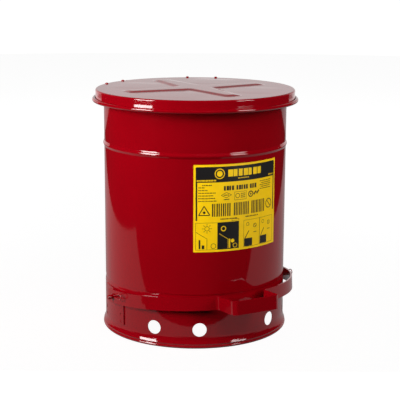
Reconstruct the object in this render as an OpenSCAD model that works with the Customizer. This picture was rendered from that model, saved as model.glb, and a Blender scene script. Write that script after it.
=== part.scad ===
// Oily waste can: a round steel bin on a vented base ring. A flat lid is hinged at the back.
// A foot lever runs round the base from the treadle in front to a lift rod behind,
// and the rod lifts an arm on the lid. +Z is up, the floor is z = 0, the front faces -Y.

/* [Overall size] */
// Height from the floor to the flat top of the closed lid
can_height = 464; // [380:1:620]
// Outside diameter of the shell
shell_diameter = 351; // [290:1:480]

/* [Sheet metal] */
// Sheet of the shell and the bottom pan
shell_sheet = 0.8; // [0.6:0.1:1.5]
// Sheet of the base ring
ring_sheet = 1; // [0.8:0.1:1.6]
// Sheet of the lid
lid_sheet = 0.9; // [0.7:0.1:1.5]
// Gap left between parts that are crimped, welded or riveted together
joint_gap = 0.05; // [0.02:0.01:0.2]

/* [Base ring] */
// Height of the bottom edge of the shell
seam_height = 103; // [85:1:130]
// Height of the shoulder that swells below the seam
shoulder_height = 11; // [6:1:16]
// How far the ring's neck reaches up inside the shell
neck_overlap = 9; // [5:1:20]
// Height where the ring starts to flare out
flare_height = 24; // [18:1:34]
// How far the flare spreads
flare_spread = 3.7; // [1:0.1:8]
// Outer radius of the rolled foot
foot_roll = 3.25; // [2:0.05:5]
// Width of the flat that the foot stands on
foot_land = 1.6; // [0.8:0.1:3]
// Diameter of a vent hole
vent_diameter = 26.4; // [15:0.2:32]
// Height of the vent holes above the floor
vent_height = 35.5; // [30:0.5:50]
// Angles of the vent holes to each side of front and back
vent_angles = [25.3, 53.7];

/* [Bottom pan] */
// Height of the pan's floor
pan_height = 97; // [80:1:125]
// Height of the pan's upturned flange
pan_flange = 14; // [8:1:25]

/* [Shell bead and rim] */
// Distance from the top of the lid down to the middle of the stiffening bead
bead_drop = 103; // [70:1:150]
// Height of the bead
bead_width = 12; // [6:1:20]
// How far the bead stands out
bead_depth = 2; // [1:0.1:4]
// Outer radius of the rolled rim
rim_roll = 3.6; // [2.5:0.1:5]

/* [Lid] */
// Gap between the rolled rim and the band inside the lid's skirt
lid_gap = 1.2; // [0.8:0.1:10]
// Depth of the skirt below the lid's top
skirt_depth = 23.3; // [19:0.1:32]
// Outer radius of the skirt's rolled edge
skirt_roll = 3.6; // [2.5:0.1:5]
// Radius of the bend between the lid's top and its skirt
lid_corner = 2.6; // [2.1:0.1:5]
// Gap between the lid and the rim it rests on
seat_gap = 0.1; // [0.05:0.05:0.5]
// Height of the stiffening cross pressed into the lid
cross_height = 2.5; // [1:0.1:6]
// Width of an arm of the cross at its tip
cross_width = 40; // [34:1:60]
// Distance from the tip of an arm out to the lid's skirt
cross_margin = 41.7; // [30:0.1:60]
// Run of the sloping sides of the cross
cross_run = 15; // [6:0.5:16]
// Distance of the corner where two arms meet from the middle line of each arm
cross_web = 32; // [32:1:70]

/* [Label] */
// Width of the label measured round the shell, in degrees
label_angle = 58.7; // [30:0.1:80]
// Height of the label
label_height = 162; // [100:1:200]
// Gap between the label and the bead above it
label_gap = 9; // [4:0.5:20]
// Thickness of the label
label_film = 0.2; // [0.1:0.05:0.4]

/* [Foot lever] */
// Height of the strap
strap_height = 25.4; // [18:0.2:32]
// Thickness of the strap
strap_thickness = 3.2; // [2.5:0.1:5]
// Distance from the shell out to the front of the treadle
treadle_reach = 64.5; // [45:0.5:90]
// Width of the treadle
treadle_width = 98; // [70:1:140]
// Radius of the bends of the treadle
treadle_bend = 9; // [5:0.5:15]
// Distance of the pivots in front of the middle
pivot_forward = 16; // [5:1:30]
// Height of the pivots
pivot_height = 77; // [60:1:85]
// How far the strap's left end passes its pivot
strap_tail = 21; // [14:1:30]
// Angle by which the strap passes the back
strap_wrap = 7; // [6:1:20]

/* [Pivots] */
// Diameter of the pivot pins
pivot_diameter = 8; // [6:0.5:10]
// Running clearance between a pin and the part that turns on it
running_gap = 0.06; // [0.03:0.01:0.1]
// Thickness of the pivot brackets
bracket_sheet = 2.2; // [1.5:0.1:3]
// Width of a pivot bracket in degrees of the ring
bracket_angle = 25; // [16:1:30]
// Gap between a washer and the moving part beside it
side_gap = 0.3; // [0.1:0.05:0.8]
// How far a pin stands out past the strap
pin_stickout = 11; // [8:0.5:16]
// Thickness of the washer on the left pin
washer_sheet = 1.2; // [0.8:0.1:3]
// Length of the spacer on the right pin
spacer_length = 11.2; // [6:0.1:16]
// Side of the square wire of the spring clips
hairpin_wire = 1.8; // [1.2:0.1:2.4]
// Diameter of a spot-weld mark
weld_diameter = 6; // [4:0.5:9]
// Depth of a spot-weld mark
weld_depth = 0.5; // [0.2:0.1:1]

/* [Lid hinge] */
// Distance from the top of the lid down to the hinge pin
hinge_drop = 14; // [10:0.5:18]
// Diameter of the hinge pin
hinge_diameter = 8; // [6:0.5:10]
// Radius of the eyes round the hinge pin
hinge_eye = 7; // [6:0.5:9]
// Sheet of the hinge arms
arm_sheet = 2.5; // [2:0.1:4]
// Distance of the bracket's arms from the middle
bracket_arm_offset = 32; // [28:0.5:40]
// Gap between the bracket's arms and the lid's arms
arm_gap = 2; // [0.5:0.1:4]
// Angle the lid opens to
open_angle = 60; // [45:1:60]

/* [Lift rod] */
// Diameter of the lift rod
rod_diameter = 6.4; // [5:0.1:8]
// Gap between the lid's rolled edge and the lift rod
rod_gap = 5.3; // [4:0.1:12]
// Distance of the lift rod in front of the hinge pin
rod_setback = 30; // [28:0.5:32]
// Radius of the bends in the rod
rod_bend = 6; // [5:0.5:9]
// Thickness of the ears the rod's ends pass through
ear_thickness = 3; // [2.5:0.1:4]
// Free play between the rod and the slot in the lid's arm
slot_play = 1.1; // [1:0.05:1.4]

/* [Rivets] */
// Diameter of a rivet's shank
rivet_shank = 4; // [3:0.1:5]
// Diameter of a rivet's head
rivet_head = 6.6; // [5:0.1:8]
// Height of a rivet's head
rivet_height = 2.2; // [1.2:0.1:3]
// Angles of the lid's rivets to each side of the back
rivet_angles = [23.4, 41.6];

/* [Hidden] */

RED = [0.62, 0.02, 0.06];
YELLOW = [0.95, 0.78, 0.05];
ZINC = [0.72, 0.72, 0.7];
ROUND_FINE = 180;
ROUND_PIN = 48;
overlap = 0.2;

// shell
shell_r = shell_diameter / 2;
shell_mid_r = shell_r - shell_sheet / 2;
shell_inner_r = shell_r - shell_sheet;
bead_mid = can_height - bead_drop;
label_top = bead_mid - bead_width / 2 - label_gap;
lid_under = can_height - lid_sheet;
rim_mid_roll = rim_roll - shell_sheet / 2;
rim_centre_r = shell_mid_r + rim_mid_roll;
rim_centre_z = lid_under - seat_gap - rim_roll;
rim_out_r = rim_centre_r + rim_roll;
rim_turn = 315;

// base ring
neck_mid_r = shell_inner_r - joint_gap - ring_sheet / 2;
ring_stand = 0.4;
ring_r = shell_r + ring_stand;
ring_mid_r = ring_r - ring_sheet / 2;
neck_top = seam_height + neck_overlap;
seam_groove = 3;
shoulder_top = seam_height - seam_groove;
shoulder_bottom = shoulder_top - shoulder_height;
foot_mid_roll = foot_roll - ring_sheet / 2;
flare_end = 2 * foot_roll + 2;
flare_mid_r = ring_mid_r + flare_spread;
crease_dip = 0.5;
foot_turn_in = 58;
foot_turn_out = -230;
foot_flat_angle = asin(foot_land / 2 / foot_mid_roll);
foot_centre_z = foot_mid_roll * cos(foot_flat_angle) + ring_sheet / 2;
foot_centre_r = flare_mid_r - crease_dip - foot_mid_roll * cos(foot_turn_in) + 0.1;

// bottom pan
pan_mid_r = neck_mid_r - ring_sheet / 2 - joint_gap - shell_sheet / 2;
pan_corner = 4;

// lid: a band on the inside, a little wider than the tails of the rivets, sets the skirt's place
rivet_tail = rivet_shank + 0.8;
band_sheet = 1.5;
band_edge = 0.2;
band_in_r = rim_out_r + lid_gap;
band_flat_r = band_in_r + rivet_tail + 2 * band_edge;
lid_rivet_r = (band_in_r + band_flat_r) / 2;
skirt_mid_r = band_flat_r + band_sheet / 2 * tan(45 / 2) + lid_corner;
skirt_r = skirt_mid_r + lid_sheet / 2;
lid_mid_z = can_height - lid_sheet / 2;
skirt_mid_roll = skirt_roll - lid_sheet / 2;
skirt_roll_r = skirt_mid_r + skirt_mid_roll;
skirt_roll_z = can_height - skirt_depth + skirt_roll;
skirt_turn = 300;
skirt_out_r = skirt_roll_r + skirt_roll;
cross_tip = skirt_r - cross_margin;
cross_half = cross_width / 2;
cross_taper = atan2(cross_web - cross_half, cross_tip - cross_web);
crest_web = cross_web - cross_run / (cos(cross_taper) + sin(cross_taper));
crest_half = cross_half - cross_run * (1 - sin(cross_taper)) / cos(cross_taper);

// pivot brackets
pivot_r = pivot_diameter / 2;
pivot_hole_r = pivot_r + running_gap;
bracket_in_r = ring_r + joint_gap;
bracket_out_r = bracket_in_r + bracket_sheet;
bracket_bottom = flare_height + 1;
bracket_top = shoulder_bottom + 1;
weld_angle = bracket_angle / 2 - 2.5;
weld_heights = [bracket_bottom + 6, bracket_bottom + 20];
washer_r = pivot_r + 4;
pin_head_r = pivot_r + 3;
pin_head_sheet = 2;
pin_back = sqrt(pow(ring_r - ring_sheet, 2) - pow(pivot_forward + pin_head_r, 2)) - joint_gap;

// strap, in plan, and the treadle bumped out of it: the washer and the spacer set its place
curve_room = 1.6;
left_strap_in = bracket_out_r + curve_room + washer_sheet + 2 * side_gap;
right_strap_in = bracket_out_r + curve_room + spacer_length + 2 * side_gap;
strap_in_r = (left_strap_in + right_strap_in) / 2;
strap_shift = (right_strap_in - left_strap_in) / 2;
strap_mid_r = strap_in_r + strap_thickness / 2;
strap_out_r = strap_in_r + strap_thickness;
treadle_mid_y = -(shell_r + treadle_reach - strap_thickness / 2);
treadle_mid_x = (treadle_width - strap_thickness) / 2;
fillet_reach = strap_mid_r + treadle_bend;
left_fillet_x = -treadle_mid_x - treadle_bend;
left_fillet_y = -sqrt(pow(fillet_reach, 2) - pow(left_fillet_x - strap_shift, 2));
right_fillet_x = treadle_mid_x + treadle_bend;
right_fillet_y = -sqrt(pow(fillet_reach, 2) - pow(right_fillet_x - strap_shift, 2));
left_fillet_angle = atan2(left_fillet_y, left_fillet_x - strap_shift) + 360;
right_fillet_angle = atan2(right_fillet_y, right_fillet_x - strap_shift) + 360;
strap_start = 180 + asin((pivot_forward - strap_tail) / strap_mid_r);
strap_end = 450 + strap_wrap;
strap_step = 2.5;
bend_steps = 8;

// spring clips: the wavy leg runs round the pin, and the straight leg through it
left_clip_x = left_strap_in + strap_thickness + side_gap + hairpin_wire / 2;
right_clip_x = right_strap_in + strap_thickness + side_gap + hairpin_wire / 2;
clip_tail = 9;
clip_eye = 5;
clip_eye_turn = 195;
clip_dip = 6;
clip_hump = pivot_r + hairpin_wire / 2 + 0.5;
clip_hump_start = 145;
clip_dip_x = (clip_hump + clip_dip) * sin(clip_hump_start);
clip_dip_y = -(clip_hump + clip_dip) * cos(clip_hump_start);
clip_neck_x = clip_dip_x + clip_dip * cos(clip_eye_turn + 90);
clip_neck_y = clip_dip_y + clip_dip * sin(clip_eye_turn + 90);
clip_eye_top = clip_eye * (1 - cos(clip_eye_turn));
clip_leg = clip_neck_x + (clip_eye_top - clip_neck_y) / tan(clip_eye_turn - 180)
    - clip_eye * sin(clip_eye_turn);

// hinge: the lift rod clears the lid, and the hinge pin stands behind the rod
rod_r = rod_diameter / 2;
rod_y = skirt_out_r + rod_gap + rod_r;
hinge_y = rod_y + rod_setback;
hinge_z = can_height - hinge_drop;
hinge_r = hinge_diameter / 2;
hinge_hole_r = hinge_r + running_gap;
hinge_fixed_r = hinge_r + joint_gap;
hinge_bracket_bottom = can_height - 66;
hinge_bracket_top = can_height - skirt_depth - 4;
hinge_bracket_sheet = 2;
bracket_root_y = sqrt(pow(shell_r + joint_gap + hinge_bracket_sheet / 2, 2)
    - pow(bracket_arm_offset + arm_sheet / 2, 2));
hinge_plate_angle = 2 * asin((bracket_arm_offset + arm_sheet + 2) / shell_r);
lid_arm_offset = bracket_arm_offset - arm_gap - arm_sheet;
leaf_sheet = 2.2;
leaf_in_r = skirt_r + joint_gap;
leaf_out_r = leaf_in_r + leaf_sheet;
leaf_bottom = skirt_roll_z + skirt_roll + 1.2;
leaf_top = can_height - lid_corner - 0.4;
leaf_angle = 2 * asin((lid_arm_offset + arm_sheet) / leaf_out_r);
leaf_root_y = sqrt(pow(leaf_in_r + leaf_sheet / 2, 2) - pow(lid_arm_offset + arm_sheet / 2, 2));
stop_length = 12;
stop_half = 3;
stop_gap = 0.25;
stop_top = hinge_z - stop_length * sin(open_angle) - stop_half * cos(open_angle) - stop_gap;
stop_height = 10;
stop_sheet = 3;
stop_lead = 20;
stop_back = hinge_y + hinge_eye * cos(stop_lead);
hinge_head_r = hinge_r + 2.5;
hinge_head_sheet = 2.5;
hinge_cap_sheet = 4;
hinge_pin_half = bracket_arm_offset + arm_sheet + side_gap;

// lift linkage: the rod stands the same distance before the hinge at both ends of its travel
half_lift = rod_setback * tan(open_angle / 2);
lever_reach = rod_y + pivot_forward;
lever_tilt = atan(half_lift / lever_reach);
rod_low_z = pivot_height - half_lift;
rod_high_z = hinge_z - half_lift;
ear_x = rod_bend + 3;
ear_hole_r = rod_r + running_gap;
rod_tip_x = ear_x + ear_thickness + 7;
slot_half = rod_r + slot_play;
slot_inner = rod_setback - 2 * slot_play - rod_r;
slot_outer = rod_setback / cos(open_angle / 2) + slot_play + rod_r;
slot_wall = 3.5;
slot_turn = 180 + open_angle / 2;
lift_root_y = sqrt(pow(leaf_out_r, 2) - pow(ear_x, 2)) + joint_gap;
lug_sheet = 2.5;
lug_half = 9;
lug_angle = 10;
lug_root_y = sqrt(pow(strap_out_r + joint_gap + lug_sheet / 2, 2)
    - pow(max(abs(ear_x - strap_shift), abs(ear_x + ear_thickness - strap_shift)), 2));
lug_tip_y = rod_y + rod_r + 5;
rod_washer_sheet = 1.2;
rod_washer_r = rod_r + 3.6;
cotter_wire = 1.6;
cotter_x = ear_x + ear_thickness + side_gap + rod_washer_sheet + cotter_wire / 2 + 0.3;

// band and rivets on the back of the lid
band_out_r = skirt_mid_r - lid_sheet / 2 - joint_gap;
band_top = lid_under - joint_gap;
band_depth = 15;
band_angle = 2 * (rivet_angles[1] + 5);
band_corner = lid_corner - lid_sheet / 2 - joint_gap - band_sheet / 2;
rivet_room = 0.5;
leaf_rivet_x = ear_x + ear_thickness + rivet_room + rivet_head / 2;
leaf_rivet_pitch = rivet_head + rivet_room;
leaf_rivet_angles = [asin(leaf_rivet_x / leaf_out_r), asin((leaf_rivet_x + leaf_rivet_pitch) / leaf_out_r)];
leaf_rivet_height = (leaf_bottom + leaf_top) / 2;

function on_arc(x, y, r, from, to, steps) =
    [for (i = [0 : steps]) [x + r * cos(from + (to - from) * i / steps),
        y + r * sin(from + (to - from) * i / steps)]];
function edge_normal(p, i) = let (d = p[i + 1] - p[i]) [-d[1], d[0]] / norm(d);
function corner_normal(p, i) =
    i == 0 ? edge_normal(p, 0)
    : i == len(p) - 1 ? edge_normal(p, i - 1)
    : let (a = edge_normal(p, i - 1), b = edge_normal(p, i)) (a + b) / (1 + a * b);
// outline of a sheet of one thickness bent along a line
function bent_sheet(p, t) = concat(
    [for (i = [0 : len(p) - 1]) p[i] + corner_normal(p, i) * t / 2],
    [for (i = [len(p) - 1 : -1 : 0]) p[i] - corner_normal(p, i) * t / 2]);
function after_first(p) = [for (i = [1 : len(p) - 1]) p[i]];
function swell(s) = (1 - cos(360 * s)) / 2;
function ease(s) = (1 - cos(180 * s)) / 2;

module sheet_of_revolution(line, t) {
    rotate_extrude($fn = ROUND_FINE)
        polygon(bent_sheet(line, t));
}

// a strip of a drum, centred on a compass angle measured from the front towards +X
module drum_strip(inner, outer, bottom, top, angle, centre) {
    rotate([0, 0, centre - 90 - angle / 2])
        rotate_extrude(angle = angle, $fn = ROUND_FINE)
            translate([inner, bottom])
                square([outer - inner, top - bottom]);
}

// a radial bar from one radius to another at a height and compass angle
module radial_bar(radius, from, to, height, centre) {
    rotate([0, 0, centre - 90])
        translate([from, 0, height])
            rotate([0, 90, 0])
                cylinder(r = radius, h = to - from, $fn = ROUND_PIN);
}

module cross_bar(radius, from, to, y, z) {
    translate([from, y, z])
        rotate([0, 90, 0])
            cylinder(r = radius, h = to - from, $fn = ROUND_PIN);
}

// a flat plate standing in the YZ plane
module side_plate(x, thickness, outline) {
    translate([x, 0, 0])
        rotate([90, 0, 90])
            linear_extrude(height = thickness)
                polygon(outline);
}

module wire_length(r, length) {
    rotate([0, 90, 0])
        cylinder(r = r, h = length, $fn = 24);
}

// a bend to the left
module wire_turn(r, bend, angle) {
    translate([0, bend, 0])
        rotate([0, 0, -90])
            rotate_extrude(angle = angle, $fn = 60)
                translate([bend, 0])
                    circle(r = r, $fn = 24);
}

module after_length(length) {
    translate([length, 0, 0])
        children();
}

module after_turn(bend, angle) {
    translate([bend * sin(angle), bend * (1 - cos(angle)), 0])
        rotate([0, 0, angle])
            children();
}

module rivet(grip) {
    union() {
        rotate_extrude($fn = ROUND_PIN)
            polygon(concat([[0, 0]], on_arc(0, 0, 1, 0, 90, 6) * [[rivet_head / 2, 0], [0, rivet_height]]));
        translate([0, 0, -grip - overlap])
            cylinder(d = rivet_shank, h = grip + 2 * overlap, $fn = 24);
        translate([0, 0, -grip - rivet_height / 2])
            cylinder(d = rivet_tail, h = rivet_height / 2, $fn = 24);
    }
}

// ---- can ----
module body_shell() {
    wall = [[shell_mid_r, seam_height]];
    bead = [for (i = [0 : 16]) [shell_mid_r + bead_depth * swell(i / 16),
        bead_mid + bead_width * (i / 16 - 0.5)]];
    rim = on_arc(rim_centre_r, rim_centre_z, rim_mid_roll, 180, 180 - rim_turn, 21);
    color(RED)
        sheet_of_revolution(concat(wall, bead, rim), shell_sheet);
}

module bottom_pan() {
    corner = on_arc(pan_mid_r - pan_corner, pan_height + pan_corner, pan_corner, -90, 0, 6);
    line = concat([[0, pan_height]], corner, [[pan_mid_r, pan_height + pan_flange]]);
    color(RED)
        sheet_of_revolution(line, shell_sheet);
}

module base_ring() {
    neck = [[neck_mid_r, neck_top]];
    shoulder = [for (i = [0 : 8]) [neck_mid_r + (ring_mid_r - neck_mid_r) * ease(i / 8),
        shoulder_top - shoulder_height * i / 8]];
    flare = [for (i = [0 : 8]) [ring_mid_r + flare_spread * pow(i / 8, 2),
        flare_height - (flare_height - flare_end) * i / 8]];
    crease = [[flare_mid_r - crease_dip, flare_end - 1.6]];
    outer_roll = on_arc(foot_centre_r, foot_centre_z, foot_mid_roll,
        foot_turn_in, -90 + foot_flat_angle, 9);
    inner_roll = on_arc(foot_centre_r, foot_centre_z, foot_mid_roll,
        -90 - foot_flat_angle, foot_turn_out, 9);
    color(RED)
        difference() {
            sheet_of_revolution(concat(neck, shoulder, flare, crease, outer_roll, inner_roll), ring_sheet);
            for (side = [0, 180], sign = [-1, 1], angle = vent_angles)
                radial_bar(vent_diameter / 2, ring_r - 10, ring_r + 10, vent_height, side + sign * angle);
            cross_bar(pivot_r + joint_gap, -ring_r - 5, ring_r + 5, -pivot_forward, pivot_height);
        }
}

module label() {
    color(YELLOW)
        drum_strip(shell_r + joint_gap, shell_r + joint_gap + label_film, label_top - label_height,
            label_top, label_angle, 0);
}

module pivot_bracket(side) {
    color(RED)
        difference() {
            drum_strip(bracket_in_r, bracket_out_r, bracket_bottom, bracket_top, bracket_angle, side * 90);
            cross_bar(pivot_r + joint_gap, side > 0 ? ring_r - 10 : -ring_r - 10,
                side > 0 ? ring_r + 10 : -ring_r + 10, -pivot_forward, pivot_height);
            for (sign = [-1, 1], height = weld_heights)
                radial_bar(weld_diameter / 2, bracket_out_r - weld_depth, bracket_out_r + 2, height,
                    side * 90 + sign * weld_angle);
        }
}

module pivot_bracket_left() {
    pivot_bracket(-1);
}

module pivot_bracket_right() {
    pivot_bracket(1);
}

module pivot_pin(side, clip_x) {
    tip = clip_x - hairpin_wire / 2 + pin_stickout;
    color(RED)
        mirror([side < 0 ? 1 : 0, 0, 0])
            difference() {
                union() {
                    cross_bar(pivot_r, pin_back - pin_head_sheet, tip, -pivot_forward, pivot_height);
                    cross_bar(pin_head_r, pin_back - pin_head_sheet, pin_back, -pivot_forward, pivot_height);
                }
                translate([clip_x, -pivot_forward, pivot_height])
                    rotate([90 - lever_tilt, 0, 0])
                        cylinder(r = hairpin_wire / sqrt(2) + running_gap, h = 4 * pivot_r, center = true, $fn = 24);
            }
}

module pivot_pin_left() {
    pivot_pin(-1, left_clip_x);
}

module pivot_pin_right() {
    pivot_pin(1, right_clip_x);
}

// spring clip: a straight leg through the pin, an eye at the front and a wavy leg over the pin
module pivot_hairpin(side, clip_x) {
    eye = on_arc(clip_leg, clip_eye, clip_eye, -90, clip_eye_turn - 90, 16);
    dip = on_arc(clip_dip_x, clip_dip_y, clip_dip, clip_eye_turn + 90, clip_hump_start + 90, 6);
    hump = on_arc(0, 0, clip_hump, clip_hump_start - 90, 270 - clip_hump_start, 8);
    lip = on_arc(-clip_dip_x, clip_dip_y, clip_dip, 450 - clip_hump_start, 410 - clip_hump_start, 5);
    line = concat([[-clip_tail, 0]], eye, dip, after_first(hump), after_first(lip));
    color(RED)
        mirror([side < 0 ? 1 : 0, 0, 0])
            translate([clip_x, -pivot_forward, pivot_height])
                rotate([-lever_tilt, 0, 0])
                    rotate([90, 0, -90])
                        linear_extrude(height = hairpin_wire, center = true)
                            polygon(bent_sheet(line, hairpin_wire));
}

module pivot_hairpin_left() {
    pivot_hairpin(-1, left_clip_x);
}

module pivot_hairpin_right() {
    pivot_hairpin(1, right_clip_x);
}

module pin_collar(side, length) {
    color(RED)
        mirror([side < 0 ? 1 : 0, 0, 0])
            difference() {
                cross_bar(washer_r, bracket_out_r + joint_gap, bracket_out_r + joint_gap + length,
                    -pivot_forward, pivot_height);
                cross_bar(pivot_hole_r, bracket_out_r - 1, bracket_out_r + length + 2,
                    -pivot_forward, pivot_height);
            }
}

module pivot_washer_left() {
    pin_collar(-1, washer_sheet);
}

module pivot_spacer_right() {
    pin_collar(1, spacer_length);
}

module hinge_bracket() {
    arm = [[bracket_root_y, hinge_bracket_bottom + 2],
        [bracket_root_y, hinge_bracket_top],
        [skirt_out_r + 3, hinge_bracket_top],
        [hinge_y - hinge_eye * sin(45), hinge_z + hinge_eye * cos(45)],
        [stop_back, hinge_z - hinge_eye * sin(stop_lead)],
        [stop_back, stop_top - stop_height - 2],
        [hinge_y - hinge_eye, stop_top - stop_height - 8]];
    color(RED)
        difference() {
            union() {
                drum_strip(shell_r + joint_gap, shell_r + joint_gap + hinge_bracket_sheet,
                    hinge_bracket_bottom, hinge_bracket_top, hinge_plate_angle, 180);
                for (x = [bracket_arm_offset, -bracket_arm_offset - arm_sheet]) {
                    side_plate(x, arm_sheet, arm);
                    cross_bar(hinge_eye, x, x + arm_sheet, hinge_y, hinge_z);
                }
                translate([-bracket_arm_offset - overlap, stop_back - stop_sheet, stop_top - stop_height])
                    cube([2 * (bracket_arm_offset + overlap), stop_sheet, stop_height]);
            }
            cross_bar(hinge_fixed_r, -2 * bracket_arm_offset, 2 * bracket_arm_offset, hinge_y, hinge_z);
        }
}

module hinge_pin() {
    color(ZINC)
        union() {
            cross_bar(hinge_r, -hinge_pin_half - hinge_head_sheet, hinge_pin_half + hinge_cap_sheet + 1,
                hinge_y, hinge_z);
            cross_bar(hinge_head_r, -hinge_pin_half - hinge_head_sheet, -hinge_pin_half, hinge_y, hinge_z);
        }
}

module hinge_pin_cap() {
    color(ZINC)
        difference() {
            cross_bar(hinge_head_r, hinge_pin_half, hinge_pin_half + hinge_cap_sheet, hinge_y, hinge_z);
            cross_bar(hinge_fixed_r, hinge_pin_half - 1, hinge_pin_half + hinge_cap_sheet + 1,
                hinge_y, hinge_z);
        }
}

// ---- lid ----
// outline of a four-armed star: each arm narrows from the corners between the arms to its tip
function star(tip, half, web) =
    [for (turn = [0 : 90 : 270], p = [[tip, -half], [tip, half], [web, web]])
        [p[0] * cos(turn) - p[1] * sin(turn), p[0] * sin(turn) + p[1] * cos(turn)]];
function at_height(outline, z) = [for (p = outline) [p[0], p[1], z]];

// a low star with sloping sides that goes down straight below its foot
module pressed_cross(dig) {
    foot = star(cross_tip, cross_half, cross_web);
    crest = star(cross_tip - cross_run, crest_half, crest_web);
    n = len(foot);
    layers = concat(at_height(foot, -dig), at_height(foot, 0), at_height(crest, cross_height));
    sides = [for (layer = [0, n], i = [0 : n - 1])
        [layer + i, layer + n + i, layer + n + (i + 1) % n, layer + (i + 1) % n]];
    polyhedron(layers, concat([[for (i = [0 : n - 1]) i]], sides, [[for (i = [n - 1 : -1 : 0]) 2 * n + i]]));
}

module lid_cover() {
    corner = on_arc(skirt_mid_r - lid_corner, lid_mid_z - lid_corner, lid_corner, 90, 0, 6);
    roll = on_arc(skirt_roll_r, skirt_roll_z, skirt_mid_roll, 180, 180 + skirt_turn, 20);
    line = concat([[0, lid_mid_z]], corner, roll);
    color(RED)
        difference() {
            union() {
                sheet_of_revolution(line, lid_sheet);
                translate([0, 0, can_height])
                    pressed_cross(lid_sheet / 2);
            }
            translate([0, 0, lid_under])
                pressed_cross(1);
            top_rivet_holes();
            leaf_rivet_holes();
        }
}

module top_rivet_holes() {
    for (sign = [-1, 1], angle = rivet_angles)
        rotate([0, 0, 90 + sign * angle])
            translate([lid_rivet_r, 0, band_top - 2 * band_sheet])
                cylinder(r = rivet_shank / 2 + joint_gap, h = 4 * band_sheet, $fn = 24);
}

module leaf_rivet_holes() {
    for (sign = [-1, 1], angle = leaf_rivet_angles)
        radial_bar(rivet_shank / 2 + joint_gap, band_in_r + 2, leaf_out_r + 2, leaf_rivet_height,
            180 + sign * angle);
}

module lid_band() {
    corner = on_arc(skirt_mid_r - lid_corner, lid_mid_z - lid_corner, band_corner, 90, 0, 1);
    line = concat([[band_in_r, band_top - band_sheet / 2]], corner,
        [[band_out_r - band_sheet / 2, band_top - band_depth]]);
    color(RED)
        difference() {
            rotate([0, 0, 90 - band_angle / 2])
                rotate_extrude(angle = band_angle, $fn = ROUND_FINE)
                    polygon(bent_sheet(line, band_sheet));
            top_rivet_holes();
            leaf_rivet_holes();
        }
}

module lid_rivets() {
    color(RED)
        for (sign = [-1, 1], angle = rivet_angles)
            rotate([0, 0, 90 + sign * angle])
                translate([lid_rivet_r, 0, can_height + joint_gap])
                    rivet(can_height - band_top + band_sheet + 2 * joint_gap);
}

module lid_hinge_leaf() {
    arm = [[leaf_root_y, leaf_bottom],
        [leaf_root_y, leaf_top],
        [hinge_y, hinge_z + hinge_eye],
        [hinge_y, hinge_z - hinge_eye]];
    color(RED)
        difference() {
            union() {
                drum_strip(leaf_in_r, leaf_out_r, leaf_bottom, leaf_top, leaf_angle, 180);
                for (x = [lid_arm_offset, -lid_arm_offset - arm_sheet]) {
                    side_plate(x, arm_sheet, arm);
                    cross_bar(hinge_eye, x, x + arm_sheet, hinge_y, hinge_z);
                    translate([x, hinge_y, hinge_z - stop_half])
                        cube([arm_sheet, stop_length, 2 * stop_half]);
                }
            }
            cross_bar(hinge_hole_r, -2 * bracket_arm_offset, 2 * bracket_arm_offset, hinge_y, hinge_z);
            leaf_rivet_holes();
        }
}

module leaf_rivets() {
    color(RED)
        for (sign = [-1, 1], angle = leaf_rivet_angles)
            rotate([0, 0, 90 + sign * angle])
                translate([leaf_out_r + joint_gap, 0, leaf_rivet_height])
                    rotate([0, 90, 0])
                        rivet(leaf_out_r - band_out_r + band_sheet + 2 * joint_gap);
}

// a point at a distance along the slot from the hinge pin, and to its lower side
function slot_point(along, aside) = [hinge_y + along * cos(slot_turn) + aside * sin(open_angle / 2),
    hinge_z + along * sin(slot_turn) - aside * cos(open_angle / 2)];

module lid_lift_arm() {
    slot_tip = slot_outer + slot_wall;
    half = slot_half + slot_wall;
    color(RED)
        difference() {
            union() {
                side_plate(ear_x, ear_thickness, [[lift_root_y, leaf_bottom], [lift_root_y, leaf_top],
                    [hinge_y, hinge_z + hinge_eye], slot_point(0, hinge_eye), slot_point(slot_tip, half),
                    slot_point(slot_tip, -half), [lift_root_y + 9, leaf_bottom]]);
                cross_bar(hinge_eye, ear_x, ear_x + ear_thickness, hinge_y, hinge_z);
            }
            cross_bar(hinge_hole_r, ear_x - 1, ear_x + ear_thickness + 1, hinge_y, hinge_z);
            side_plate(ear_x - 1, ear_thickness + 2, [slot_point(slot_inner, slot_half),
                slot_point(slot_outer, slot_half), slot_point(slot_outer, -slot_half),
                slot_point(slot_inner, -slot_half)]);
        }
}

// ---- foot lever ----
// places what is drawn with the strap level, and tilts it about the pivots
module in_lever() {
    translate([0, -pivot_forward, pivot_height])
        rotate([-lever_tilt, 0, 0])
            translate([0, pivot_forward, 0])
                children();
}

module foot_lever() {
    left_arc = on_arc(strap_shift, 0, strap_mid_r, strap_start, left_fillet_angle,
        round((left_fillet_angle - strap_start) / strap_step));
    left_fillet = on_arc(left_fillet_x, left_fillet_y, treadle_bend, left_fillet_angle - 180, 0, bend_steps);
    left_corner = on_arc(-treadle_mid_x + treadle_bend, treadle_mid_y + treadle_bend, treadle_bend,
        180, 270, bend_steps);
    right_corner = on_arc(treadle_mid_x - treadle_bend, treadle_mid_y + treadle_bend, treadle_bend,
        270, 360, bend_steps);
    right_fillet = on_arc(right_fillet_x, right_fillet_y, treadle_bend, 180, right_fillet_angle - 180,
        bend_steps);
    right_arc = on_arc(strap_shift, 0, strap_mid_r, right_fillet_angle, strap_end,
        round((strap_end - right_fillet_angle) / strap_step));
    line = concat(left_arc, after_first(left_fillet), left_corner, right_corner, right_fillet,
        after_first(right_arc));
    color(RED)
        difference() {
            in_lever()
                translate([0, 0, -strap_height / 2])
                    linear_extrude(height = strap_height)
                        polygon(bent_sheet(line, strap_thickness));
            cross_bar(pivot_hole_r, -2 * strap_out_r, 2 * strap_out_r, -pivot_forward, pivot_height);
        }
}

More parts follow.
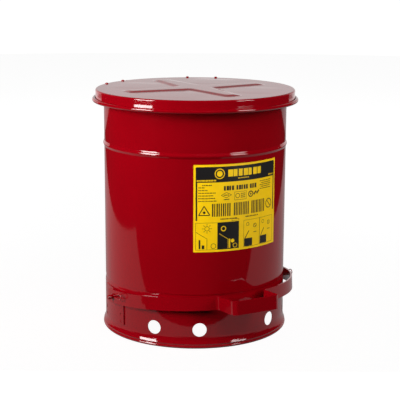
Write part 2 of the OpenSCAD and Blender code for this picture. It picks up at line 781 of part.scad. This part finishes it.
module lever_lug() {
    color(RED)
        difference() {
            in_lever()
                union() {
                    translate([strap_shift, 0, 0])
                        drum_strip(strap_out_r + joint_gap, strap_out_r + joint_gap + lug_sheet,
                            -lug_half, lug_half, lug_angle, 180);
                    side_plate(ear_x, ear_thickness, [[lug_root_y, -lug_half], [lug_root_y, lug_half],
                        [lug_tip_y, lug_half], [lug_tip_y, -lug_half]]);
                }
            cross_bar(ear_hole_r, ear_x - 1, ear_x + ear_thickness + 1, rod_y, rod_low_z);
        }
}

// ---- lift rod ----
module lift_rod() {
    rise = rod_high_z - rod_low_z - 2 * rod_bend;
    foot_run = rod_tip_x - rod_bend;
    color(ZINC)
        difference() {
            translate([rod_tip_x, rod_y, rod_low_z])
                rotate([90, 0, 180])
                    union() {
                        wire_length(rod_r, foot_run);
                        after_length(foot_run) {
                            wire_turn(rod_r, rod_bend, 90);
                            after_turn(rod_bend, 90) {
                                wire_length(rod_r, rise);
                                after_length(rise) {
                                    wire_turn(rod_r, rod_bend, 90);
                                    after_turn(rod_bend, 90)
                                        wire_length(rod_r, foot_run);
                                }
                            }
                        }
                    }
            for (z = [rod_low_z, rod_high_z])
                translate([cotter_x, rod_y, z])
                    cylinder(d = cotter_wire + 0.2, h = 4 * rod_r, center = true, $fn = 24);
        }
}

module rod_washer(z) {
    start = ear_x + ear_thickness + side_gap;
    color(ZINC)
        difference() {
            cross_bar(rod_washer_r, start, start + rod_washer_sheet, rod_y, z);
            cross_bar(ear_hole_r, start - 1, start + rod_washer_sheet + 1, rod_y, z);
        }
}

module rod_washer_lower() {
    rod_washer(rod_low_z);
}

module rod_washer_upper() {
    rod_washer(rod_high_z);
}

module rod_cotter(z) {
    eye = 2.4;
    color(ZINC)
        translate([cotter_x, rod_y, z])
            union() {
                translate([0, 0, -rod_r - 3])
                    cylinder(d = cotter_wire, h = 2 * rod_r + 3 + 1.5, $fn = 24);
                translate([0, 0, rod_r + 1 + eye])
                    rotate([90, 0, 90])
                        rotate_extrude($fn = ROUND_PIN)
                            translate([eye, 0])
                                circle(d = cotter_wire, $fn = 24);
            }
}

module rod_cotter_lower() {
    rod_cotter(rod_low_z);
}

module rod_cotter_upper() {
    rod_cotter(rod_high_z);
}

body_shell();
bottom_pan();
base_ring();
label();
pivot_bracket_left();
pivot_bracket_right();
pivot_pin_left();
pivot_pin_right();
pivot_hairpin_left();
pivot_hairpin_right();
pivot_washer_left();
pivot_spacer_right();
hinge_bracket();
hinge_pin();
hinge_pin_cap();
lid_cover();
lid_band();
lid_rivets();
lid_hinge_leaf();
leaf_rivets();
lid_lift_arm();
foot_lever();
lever_lug();
lift_rod();
rod_washer_lower();
rod_washer_upper();
rod_cotter_lower();
rod_cotter_upper();
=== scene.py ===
import math

import bpy
from mathutils import Matrix, Vector


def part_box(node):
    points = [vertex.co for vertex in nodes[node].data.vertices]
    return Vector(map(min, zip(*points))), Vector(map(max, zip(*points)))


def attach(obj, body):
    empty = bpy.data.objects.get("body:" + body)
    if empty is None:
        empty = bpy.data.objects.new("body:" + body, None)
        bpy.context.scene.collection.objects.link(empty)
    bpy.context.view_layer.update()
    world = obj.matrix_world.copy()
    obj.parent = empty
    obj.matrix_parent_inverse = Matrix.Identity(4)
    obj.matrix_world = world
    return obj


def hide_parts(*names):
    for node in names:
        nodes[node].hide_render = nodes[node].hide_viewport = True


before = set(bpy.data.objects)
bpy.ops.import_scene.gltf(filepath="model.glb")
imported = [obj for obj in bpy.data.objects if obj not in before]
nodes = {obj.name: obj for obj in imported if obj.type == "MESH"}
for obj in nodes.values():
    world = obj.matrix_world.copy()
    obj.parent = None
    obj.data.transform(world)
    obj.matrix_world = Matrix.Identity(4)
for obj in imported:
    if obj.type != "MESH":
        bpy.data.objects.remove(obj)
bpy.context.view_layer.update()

# Lengths are in metres and angles in degrees, in the frame of the can: +Z up, the front faces -Y,
# and the can stands on z = 0. Only the label's print is laid out in millimetres.
MM = 0.001
lid_low, lid_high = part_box("lid_cover")
label_low, label_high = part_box("label")

# ---- sizes that the drawn pieces share with the model
SHELL_R = 175.5 * MM
CROSS_HEIGHT = 2.5 * MM
CROSS_HALF = 20 * MM
CROSS_WEB = 32 * MM
CROSS_RUN = 15 * MM
CROSS_TIP = 150 * MM
CROSS_FILLET = 10 * MM
CROSS_TIP_BLEND = 6 * MM
SWELL_HEIGHT = 0.35 * MM
SWELL_FROM_CENTRE = 112 * MM
SWELL_HALF = 60 * MM
LID_SHEET = 0.9 * MM
LID_ROLL_R = 3.6 * MM
LID_CORNER_R = 2.6 * MM + LID_SHEET / 2
LID_TOP = lid_high.z - CROSS_HEIGHT
LID_EDGE_R = lid_high.x
LABEL_ANGLE = 58.7
LABEL_HEIGHT = label_high.z - label_low.z
LABEL_FILM = 0.25 * MM
LABEL_FILM_R = SHELL_R + LABEL_FILM
PIVOT_Y, PIVOT_Z = -16 * MM, 77 * MM
LEVER_TILT = 4.45


# ---------------------------------------------------------------- materials
def principled(name):
    material = bpy.data.materials.new(name)
    material.use_nodes = True
    tree = material.node_tree
    return material, tree, tree.nodes["Principled BSDF"]


def noise(tree, scale, detail=2.0, stretch=(1.0, 1.0, 1.0)):
    coordinates = tree.nodes.new("ShaderNodeTexCoord")
    mapping = tree.nodes.new("ShaderNodeMapping")
    mapping.inputs["Scale"].default_value = stretch
    texture = tree.nodes.new("ShaderNodeTexNoise")
    texture.inputs["Scale"].default_value = scale
    texture.inputs["Detail"].default_value = detail
    tree.links.new(coordinates.outputs["Object"], mapping.inputs["Vector"])
    tree.links.new(mapping.outputs["Vector"], texture.inputs["Vector"])
    return texture.outputs["Fac"]


def ramp(tree, source, low, high, start=0.3, end=0.7):
    node = tree.nodes.new("ShaderNodeValToRGB")
    first, last = node.color_ramp.elements
    first.position = start
    first.color = (*low, 1.0)
    last.position = end
    last.color = (*high, 1.0)
    tree.links.new(source, node.inputs["Fac"])
    return node.outputs["Color"]


def grey(value):
    return (value, value, value)


def tinted(colour, factor):
    return tuple(min(1.0, channel * factor) for channel in colour)


def bump(tree, shader, source, strength, distance):
    node = tree.nodes.new("ShaderNodeBump")
    node.inputs["Strength"].default_value = strength
    node.inputs["Distance"].default_value = distance
    tree.links.new(source, node.inputs["Height"])
    tree.links.new(node.outputs["Normal"], shader.inputs["Normal"])


def enamel(name, colour, roughness):
    """Glossy baked enamel: a slight drift of tone, an uneven gloss and faint orange peel."""
    material, tree, shader = principled(name)
    tone = ramp(tree, noise(tree, 9.0, 3.0), tinted(colour, 0.94), tinted(colour, 1.05))
    gloss = ramp(tree, noise(tree, 60.0, 4.0), grey(roughness * 0.8), grey(roughness * 1.25))
    tree.links.new(tone, shader.inputs["Base Color"])
    tree.links.new(gloss, shader.inputs["Roughness"])
    shader.inputs["IOR"].default_value = 1.5
    bump(tree, shader, noise(tree, 260.0, 1.0), 0.05, 0.0003)
    return material


def plated(name):
    """Zinc plating: grey and satin, with fine lines drawn along the wire."""
    material, tree, shader = principled(name)
    tone = ramp(tree, noise(tree, 70.0, 4.0), (0.42, 0.41, 0.38), (0.62, 0.61, 0.57))
    grain = noise(tree, 900.0, 2.0, (1.0, 1.0, 0.1))
    tree.links.new(tone, shader.inputs["Base Color"])
    tree.links.new(ramp(tree, grain, grey(0.26), grey(0.42), 0.2, 0.8), shader.inputs["Roughness"])
    shader.inputs["Metallic"].default_value = 1.0
    bump(tree, shader, grain, 0.15, 0.0002)
    return material


def printed(name, colour, roughness):
    """Printed vinyl: nearly even ink with faint mottling and a fine grain."""
    material, tree, shader = principled(name)
    tone = ramp(tree, noise(tree, 55.0, 3.0), tinted(colour, 0.95), tinted(colour, 1.04))
    tree.links.new(tone, shader.inputs["Base Color"])
    shader.inputs["Roughness"].default_value = roughness
    bump(tree, shader, noise(tree, 1200.0, 1.0), 0.04, 0.0001)
    return material


red = enamel("red_enamel_gloss", (0.235, 0.0001, 0.0035), 0.06)
zinc = plated("zinc_plated_steel")
yellow = printed("label_yellow_ink", (0.93, 0.58, 0.001), 0.42)
black = printed("label_black_ink", (0.010, 0.009, 0.009), 0.38)

ZINC_NODES = ("hinge_pin", "hinge_pin_cap", "lift_rod", "rod_washer_lower", "rod_washer_upper",
              "rod_cotter_lower", "rod_cotter_upper")
for name, node in nodes.items():
    material = red
    if name in ZINC_NODES:
        material = zinc
    if name == "label":
        material = yellow
    node.data.materials.clear()
    node.data.materials.append(material)


# ---------------------------------------------------------------- drawn pieces
def mesh_piece(name, points, faces, material, smooth=True):
    mesh = bpy.data.meshes.new(name)
    mesh.from_pydata(points, [], faces)
    mesh.materials.append(material)
    if smooth:
        mesh.polygons.foreach_set("use_smooth", [True] * len(mesh.polygons))
    piece = bpy.data.objects.new(name, mesh)
    bpy.context.scene.collection.objects.link(piece)
    return piece


def arc(x, y, radius, start, end, steps):
    turns = [math.radians(start + (end - start) * i / steps) for i in range(steps + 1)]
    return [(x + radius * math.cos(t), y + radius * math.sin(t)) for t in turns]


def smooth_step(value):
    value = min(1.0, max(0.0, value))
    return value * value * (3.0 - 2.0 * value)


def soft_least(a, b, blend):
    """The lesser of two values, rounded off where they are close."""
    share = max(0.0, blend - abs(a - b)) / blend
    return min(a, b) - share * share * blend / 4


def cross_rise(x, y):
    """Height of the pressed cross: a star whose arms narrow outwards, with sloping sides and soft corners."""
    across = soft_least(abs(x), abs(y), CROSS_FILLET)
    along = abs(x) + abs(y) - across
    taper = math.atan2(CROSS_WEB - CROSS_HALF, CROSS_TIP - CROSS_WEB)
    from_side = (CROSS_HALF - across) * math.cos(taper) + (CROSS_TIP - along) * math.sin(taper)
    inside = soft_least(from_side, CROSS_TIP - along, CROSS_TIP_BLEND)
    return CROSS_HEIGHT * smooth_step(inside / CROSS_RUN)


def sheet_swell(x, y):
    """Height of the slight swell of the sheet between each two arms of the cross."""
    out = (abs(x) + abs(y)) / math.sqrt(2) - SWELL_FROM_CENTRE
    across = (abs(x) - abs(y)) / math.sqrt(2)
    return (SWELL_HEIGHT * smooth_step(1 - (out / SWELL_HALF) ** 2)
            * smooth_step(1 - (across / SWELL_HALF) ** 2))


def pressed_lid(name):
    """The lid: a flat top with the cross pressed up in it, a rounded corner, a skirt and a rolled edge."""
    skirt_r = LID_EDGE_R - 2 * LID_ROLL_R + LID_SHEET
    roll_z = lid_low.z + LID_ROLL_R
    roll_r = LID_EDGE_R - LID_ROLL_R
    flat_r = skirt_r - LID_CORNER_R
    corner_z = LID_TOP - LID_CORNER_R
    turns, rings = 288, 130
    corner_steps, roll_steps = 8, 28
    roll_start, roll_end = 180, 480
    outer = arc(flat_r, corner_z, LID_CORNER_R, 90, 0, corner_steps)
    outer += arc(roll_r, roll_z, LID_ROLL_R, roll_start, roll_end, roll_steps)
    inner = arc(roll_r, roll_z, LID_ROLL_R - LID_SHEET, roll_end, roll_start, roll_steps)
    inner += arc(flat_r, corner_z, LID_CORNER_R - LID_SHEET, 0, 90, corner_steps)
    flat = [(flat_r * i / rings, LID_TOP) for i in range(1, rings)]
    under = [(r, z - LID_SHEET) for r, z in reversed(flat)]
    line = flat + outer + inner + under
    points = [(0.0, 0.0, LID_TOP + CROSS_HEIGHT)]
    for r, z in line:
        for i in range(turns):
            angle = 2 * math.pi * i / turns
            x, y = r * math.cos(angle), r * math.sin(angle)
            rise = cross_rise(x, y) + sheet_swell(x, y) if r < flat_r else 0.0
            points.append((x, y, z + rise))
    points.append((0.0, 0.0, LID_TOP + CROSS_HEIGHT - LID_SHEET))
    last = len(points) - 1
    faces = [(0, 1 + i, 1 + (i + 1) % turns) for i in range(turns)]
    for k in range(len(line) - 1):
        a, b = 1 + k * turns, 1 + (k + 1) * turns
        faces += [(a + i, b + i, b + (i + 1) % turns, a + (i + 1) % turns) for i in range(turns)]
    end = 1 + (len(line) - 1) * turns
    faces += [(last, end + (i + 1) % turns, end + i) for i in range(turns)]
    lid = mesh_piece(name, points, faces, red)
    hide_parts("lid_cover")
    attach(lid, "lid")
    return lid


def spring_clip(name, node):
    """Round spring wire: a straight leg through the pin, an eye, and a wavy leg over the pin."""
    wire = 0.9 * MM
    hump, dip, eye, tail = 5.4 * MM, 6 * MM, 5 * MM, 9 * MM
    start, turn = 145, 195
    reach = hump + dip
    dip_x = reach * math.sin(math.radians(start))
    dip_y = -reach * math.cos(math.radians(start))
    neck_x = dip_x + dip * math.cos(math.radians(turn + 90))
    neck_y = dip_y + dip * math.sin(math.radians(turn + 90))
    eye_top = eye * (1 - math.cos(math.radians(turn)))
    leg = neck_x + (eye_top - neck_y) / math.tan(math.radians(turn - 180))
    leg -= eye * math.sin(math.radians(turn))
    line = [(-tail, 0.0)]
    line += arc(leg, eye, eye, -90, turn - 90, 24)
    line += arc(dip_x, dip_y, dip, turn + 90, start + 90, 8)
    line += arc(0, 0, hump, start - 90, 270 - start, 10)[1:]
    line += arc(-dip_x, dip_y, dip, 450 - start, 410 - start, 6)[1:]
    low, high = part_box(node)
    centre = Vector(((low.x + high.x) / 2, PIVOT_Y, PIVOT_Z))
    tilt = Matrix.Rotation(math.radians(-LEVER_TILT), 3, "X")
    curve = bpy.data.curves.new(name, "CURVE")
    curve.dimensions = "3D"
    curve.bevel_depth = wire
    curve.bevel_resolution = 6
    curve.use_fill_caps = True
    spline = curve.splines.new("POLY")
    spline.points.add(len(line) - 1)
    for point, (forward, up) in zip(spline.points, line):
        point.co = (*(centre + tilt @ Vector((0.0, -forward, up))), 1.0)
    spline.use_smooth = True
    clip = bpy.data.objects.new(name, curve)
    bpy.context.scene.collection.objects.link(clip)
    curve.materials.append(red)
    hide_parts(node)
    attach(clip, "can")
    return clip


# ---- label print: plain bars, blocks and rings, in millimetres from the label's top left corner
LABEL_WIDE = math.radians(LABEL_ANGLE) * LABEL_FILM_R / MM
LABEL_TALL = LABEL_HEIGHT / MM


class Print:
    """Collects flat shapes and bends them round the shell."""

    def __init__(self, name, material, lift):
        self.name, self.material = name, material
        self.radius = LABEL_FILM_R + lift
        self.points, self.faces = [], []

    def add(self, x, y):
        angle = (x / LABEL_WIDE - 0.5) * math.radians(LABEL_ANGLE)
        self.points.append((self.radius * math.sin(angle), -self.radius * math.cos(angle),
                            label_high.z - y * MM))
        return len(self.points) - 1

    def stroke(self, x0, y0, x1, y1, width):
        length = math.hypot(x1 - x0, y1 - y0)
        side_x, side_y = -(y1 - y0) / length * width / 2, (x1 - x0) / length * width / 2
        steps = max(1, math.ceil(abs(x1 - x0) / 3))
        pairs = []
        for i in range(steps + 1):
            x, y = x0 + (x1 - x0) * i / steps, y0 + (y1 - y0) * i / steps
            pairs.append((self.add(x + side_x, y + side_y), self.add(x - side_x, y - side_y)))
        self.faces += [(a, c, d, b) for (a, b), (c, d) in zip(pairs, pairs[1:])]

    def block(self, x0, y0, x1, y1):
        self.stroke(x0, (y0 + y1) / 2, x1, (y0 + y1) / 2, y1 - y0)

    def ring(self, x, y, outer, inner, steps=28):
        pairs = []
        for i in range(steps + 1):
            c, s = math.cos(2 * math.pi * i / steps), math.sin(2 * math.pi * i / steps)
            pairs.append((self.add(x + inner * c, y + inner * s), self.add(x + outer * c, y + outer * s)))
        self.faces += [(a, c, d, b) for (a, b), (c, d) in zip(pairs, pairs[1:])]

    def disc(self, x, y, radius):
        pinhole = 0.02
        self.ring(x, y, radius, pinhole)

    def frame(self, x0, y0, x1, y1, line):
        self.block(x0, y0, x1, y0 + line)
        self.block(x0, y1 - line, x1, y1)
        self.block(x0, y0 + line, x0 + line, y1 - line)
        self.block(x1 - line, y0 + line, x1, y1 - line)

    def dashes(self, x0, y0, x1, y1, count, fill=0.72):
        """A line of filler text: even blocks of slightly different widths."""
        pitch = (x1 - x0) / count
        for i in range(count):
            share = fill * (1 + 0.16 * math.sin(2.4 * i + x0))
            self.block(x0 + pitch * i, y0, x0 + pitch * (i + share), y1)

    def finish(self):
        piece = mesh_piece(self.name, self.points, self.faces, self.material, smooth=False)
        film = piece.modifiers.new("film", "SOLIDIFY")
        film.thickness = 0.03 * MM
        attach(piece, "can")
        return piece


def header_print(dark, lite, margin, edge):
    """Dark band across the top, the thin borders that hang from it, and a plain emblem and bars."""
    depth = 32.5
    corner = 2
    dark.block(margin + corner, margin, edge - corner, depth)
    dark.block(margin, margin + corner, margin + corner, depth)
    dark.block(edge - corner, margin + corner, edge, depth)
    dark.disc(margin + corner, margin + corner, corner)
    dark.disc(edge - corner, margin + corner, corner)
    dark.block(margin, depth, margin + 3, 103)
    dark.block(edge - 3, depth, edge, 97)
    lite.ring(48, 17, 9.6, 8)
    lite.disc(48, 17, 5.4)
    lite.dashes(64, 10, 138, 23, 7, 0.8)
    lite.dashes(84, 26, 108, 27.8, 8)
    lite.dashes(margin + 2, 27.6, 42, 30.4, 13)
    lite.dashes(edge - 18, 27.4, edge - 3, 29.6, 6)


def filler_text(dark):
    """Lines of filler at the top left and right, and a title between them."""
    dark.dashes(16, 36.6, 34, 38.6, 6)
    for row, end in enumerate((21, 26, 41, 37, 40, 43)):
        dark.dashes(9, 41 + 5 * row, end, 42.9 + 5 * row, round((end - 9) / 2.9), 0.66)
    for row in range(5):
        inset = 3 * (row % 2)
        dark.dashes(134 + inset, 37 + 3.6 * row, 166 - inset, 38.6 + 3.6 * row, 10, 0.66)
    for start, end, count in ((56, 77, 4), (81, 106, 5), (110, 126, 3)):
        dark.dashes(start, 40, end, 48.4, count, 0.74)


def row_of_marks(dark):
    """Three plain marks under the title: a diamond, a box and a round one."""
    for a, b in (((51, 57), (61, 52)), ((61, 52), (71, 57)), ((71, 57), (61, 62)), ((61, 62), (51, 57))):
        dark.stroke(*a, *b, 0.8)
    dark.dashes(56, 56, 66, 58, 4)
    dark.dashes(56, 64, 67, 66, 5)
    dark.frame(77, 52, 102, 67.5, 0.6)
    dark.ring(83.5, 59.5, 4.6, 3.6)
    for row in range(3):
        dark.dashes(90, 55.4 + 3.4 * row, 100, 57 + 3.4 * row, 4)
    dark.ring(112, 59, 5.8, 3.9)
    dark.disc(112, 59, 1.8)
    dark.stroke(119, 61, 125, 55, 3)
    dark.stroke(126, 60, 132, 54, 3)


def tall_line(dark):
    """Three groups of tall strokes, with a plain triangle before them and a plain ring after."""
    for start, end in ((34, 71), (76, 109), (114, 148)):
        dark.dashes(start, 72, end, 96, 9, 0.56)
    for a, b in (((9.5, 93), (19.5, 76)), ((19.5, 76), (30, 93)), ((30, 93), (9.5, 93))):
        dark.stroke(*a, *b, 1.7)
    dark.disc(19.7, 88, 2.4)
    dark.ring(160, 83, 9.2, 7.6)
    dark.stroke(154.5, 77, 165.5, 89, 1.5)
    dark.dashes(50, 100, 84, 102, 11)
    dark.frame(72, 102, 87, 105.6, 0.6)
    dark.dashes(101, 99.6, 131, 101.6, 9)


def day_and_night_boxes(dark, lite, margin, top, bottom):
    """A light box and a dark box, each with a few plain shapes."""
    middle, right = 45, 87
    dark.frame(margin, top, middle, bottom, 0.6)
    dark.ring(25, 118, 4.6, 3.7)
    for spoke in range(8):
        across, down = math.cos(math.pi * spoke / 4), math.sin(math.pi * spoke / 4)
        dark.stroke(25 + 6 * across, 118 + 6 * down, 25 + 8.8 * across, 118 + 8.8 * down, 0.9)
    dark.stroke(margin + 1, 124.6, 25, 137, 0.8)
    dark.stroke(25, 137, 25, bottom - 1, 0.8)
    dark.block(9.8, 139, 13, bottom - 2)
    dark.block(15.6, 149, 20.4, bottom - 2)
    dark.ring(37, 151, 5, 4.1)
    dark.block(middle, top, right, bottom)
    lite.ring(56, 119, 5, 3.4)
    lite.stroke(48, 128, 65, 139.5, 0.8)
    lite.stroke(65, 139.5, 65, bottom - 1, 0.8)
    lite.block(66.5, 139, 69.5, bottom - 2)
    lite.disc(74, 143, 3.6)
    lite.ring(79, 152, 4.4, 3.4)


def right_hand_boxes(dark, top, bottom):
    """Two light boxes, each with a block, a slanted stroke and two plain rings."""
    for left in (97, 135):
        dark.frame(left, top, left + 38, bottom, 0.5)
        dark.block(left + 1.5, 142, left + 20, bottom - 1)
        dark.stroke(left + 3, 142, left + 12, 128, 1.7)
        dark.ring(left + 9, 115.5, 3.4, 2.7)
        dark.ring(left + 26, 119.5, 4, 3)
        dark.stroke(left + 23.4, 116.8, left + 28.6, 122.2, 0.9)
        dark.dashes(left + 23, 131, left + 31, 132.6, 3)


def label_print():
    """All of the print, dark and light, as two thin films on the label."""
    margin = 4
    edge = LABEL_WIDE - margin
    top, bottom = 107, LABEL_TALL - margin
    dark = Print("label_print_dark", black, 0.04 * MM)
    lite = Print("label_print_light", yellow, 0.08 * MM)
    header_print(dark, lite, margin, edge)
    filler_text(dark)
    row_of_marks(dark)
    tall_line(dark)
    day_and_night_boxes(dark, lite, margin, top, bottom)
    right_hand_boxes(dark, top, bottom)
    dark.finish()
    lite.finish()


pressed_lid("lid_pressed")
spring_clip("spring_clip_left", "pivot_hairpin_left")
spring_clip("spring_clip_right", "pivot_hairpin_right")
label_print()

# ---------------------------------------------------------------- camera
CAMERA_AZIMUTH = -28.5
CAMERA_REACH = 2.236
CAMERA_HEIGHT = 0.7292
CAMERA_DIP = 12.25
CAMERA_AIM = 0.26
CAMERA_ROLL = 0.3
CAMERA_LENS = 105.05


def around(azimuth, reach, height):
    """A point at an angle from the camera's side of the can, positive to the right."""
    angle = math.radians(CAMERA_AZIMUTH + azimuth)
    return Vector((math.sin(angle) * reach, -math.cos(angle) * reach, height))


def add_camera():
    data = bpy.data.cameras.new("camera")
    data.sensor_width = 36.0
    data.lens = CAMERA_LENS
    camera = bpy.data.objects.new("camera", data)
    bpy.context.scene.collection.objects.link(camera)
    camera.matrix_world = (
        Matrix.Translation(around(0.0, CAMERA_REACH, CAMERA_HEIGHT))
        @ Matrix.Rotation(math.radians(CAMERA_AZIMUTH - CAMERA_AIM), 4, "Z")
        @ Matrix.Rotation(math.radians(90.0 - CAMERA_DIP), 4, "X")
        @ Matrix.Rotation(math.radians(CAMERA_ROLL), 4, "Z"))
    bpy.context.scene.camera = camera


# ---------------------------------------------------------------- stage and light
def paper(name, colour, glow):
    """Matt paper that also glows, as a lit studio surface does in a bright exposure."""
    material, tree, shader = principled(name)
    tone = ramp(tree, noise(tree, 3.0), tinted(colour, 0.98), colour)
    tree.links.new(tone, shader.inputs["Base Color"])
    shader.inputs["Roughness"].default_value = 0.9
    shader.inputs["Specular IOR Level"].default_value = 0.0
    shader.inputs["Emission Color"].default_value = (1.0, 1.0, 1.0, 1.0)
    shader.inputs["Emission Strength"].default_value = glow
    return material


def stage_piece(name, points, faces, material, camera, diffuse, glossy):
    """A stage surface, and whether the camera, soft light and reflections see it."""
    piece = mesh_piece(name, [tuple(point) for point in points], faces, material, smooth=False)
    piece.visible_camera = camera
    piece.visible_diffuse = diffuse
    piece.visible_glossy = glossy
    return piece


def room():
    """White floor and wall right round, which the camera sees and the can does not reflect."""
    steps = 64
    reach = 6.0
    height = 4.0
    base = [around(360 * i / steps, reach, 0.0) for i in range(steps)]
    upper = [point + Vector((0.0, 0.0, height)) for point in base]
    walls = [(i, (i + 1) % steps, steps + (i + 1) % steps, steps + i) for i in range(steps)]
    stage_piece("stage_floor", base, [tuple(range(steps))], paper("stage_floor_paper", grey(0.22), 0.96),
                camera=True, diffuse=False, glossy=False)
    stage_piece("stage_wall", base + upper, walls, paper("stage_wall_paper", grey(0.3), 1.0),
                camera=True, diffuse=False, glossy=False)


def reflected_floor():
    """The lit part of the floor, beside and behind the can, that its walls reflect."""
    forward = around(0.0, 1.0, 0.0)
    right = around(90.0, 1.0, 0.0)
    near, far, half = 0.30, -2.4, 1.0
    rise = Vector((0.0, 0.0, 0.0002))
    corners = [forward * far - right * half + rise, forward * near - right * half + rise,
               forward * near + right * half + rise, forward * far + right * half + rise]
    stage_piece("stage_floor_lit", corners, [(0, 1, 2, 3)], paper("stage_lit_paper", grey(0.02), 0.36),
                camera=False, diffuse=False, glossy=True)


def reflected_screen(name, low, high, glow):
    """One band of the pale screen behind the can, which the lid and the shell's sides reflect."""
    start, end, reach = 132, 228, 3.4
    corners = [around(start, reach, low), around(end, reach, low),
               around(end, reach, high), around(start, reach, high)]
    stage_piece(name, corners, [(0, 1, 2, 3)], paper(name + "_paper", grey(0.1), glow),
                camera=False, diffuse=True, glossy=True)


def softbox(name, azimuth, low, high, width, radiance):
    """An upright light panel that faces the can, of one radiance all over."""
    reach = 1.5
    data = bpy.data.lights.new(name, "AREA")
    data.shape = "RECTANGLE"
    data.size = width
    data.size_y = high - low
    data.energy = radiance * math.pi * width * (high - low)
    light = bpy.data.objects.new(name, data)
    bpy.context.scene.collection.objects.link(light)
    light.location = around(azimuth, reach, (low + high) / 2)
    aim = Vector((0.0, 0.0, (low + high) / 2)) - light.location
    light.rotation_euler = aim.to_track_quat("-Z", "Y").to_euler()
    return light


def fill_light(name, azimuth, reach, height, size, energy):
    """A soft square light aimed at the can, which lights its paint without showing in the gloss."""
    data = bpy.data.lights.new(name, "AREA")
    data.size = size
    data.energy = energy
    light = bpy.data.objects.new(name, data)
    bpy.context.scene.collection.objects.link(light)
    light.location = around(azimuth, reach, height)
    aim = Vector((0.0, 0.0, 0.3)) - light.location
    light.rotation_euler = aim.to_track_quat("-Z", "Y").to_euler()
    light.visible_glossy = False


def studio():
    """Room, reflected surfaces, lights and world; soft, pale and even."""
    room()
    reflected_floor()
    reflected_screen("stage_screen_foot", low=0.0, high=0.14, glow=0.4)
    reflected_screen("stage_screen_low", low=0.14, high=0.66, glow=0.95)
    reflected_screen("stage_screen_middle", low=0.66, high=1.0, glow=0.72)
    reflected_screen("stage_screen_upper", low=1.0, high=1.25, glow=0.6)
    reflected_screen("stage_screen_top", low=1.25, high=3.0, glow=0.3)
    softbox("softbox_left", azimuth=-57.0, low=0.36, high=1.29, width=0.58, radiance=20.0)
    softbox("softbox_right", azimuth=55.0, low=0.46, high=1.25, width=0.5, radiance=9.0)
    fill_light("fill_overhead", azimuth=20.0, reach=1.2, height=1.5, size=1.0, energy=15.0)
    fill_light("fill_back_left", azimuth=-130.0, reach=1.6, height=0.6, size=0.7, energy=16.0)
    fill_light("fill_back_right", azimuth=135.0, reach=1.6, height=0.6, size=0.7, energy=12.0)
    world = bpy.data.worlds.new("studio")
    world.use_nodes = True
    background = world.node_tree.nodes["Background"]
    background.inputs["Color"].default_value = (1.0, 1.0, 1.0, 1.0)
    background.inputs["Strength"].default_value = 0.015
    bpy.context.scene.world = world
    bpy.context.scene.view_settings.view_transform = "Standard"


add_camera()
studio()
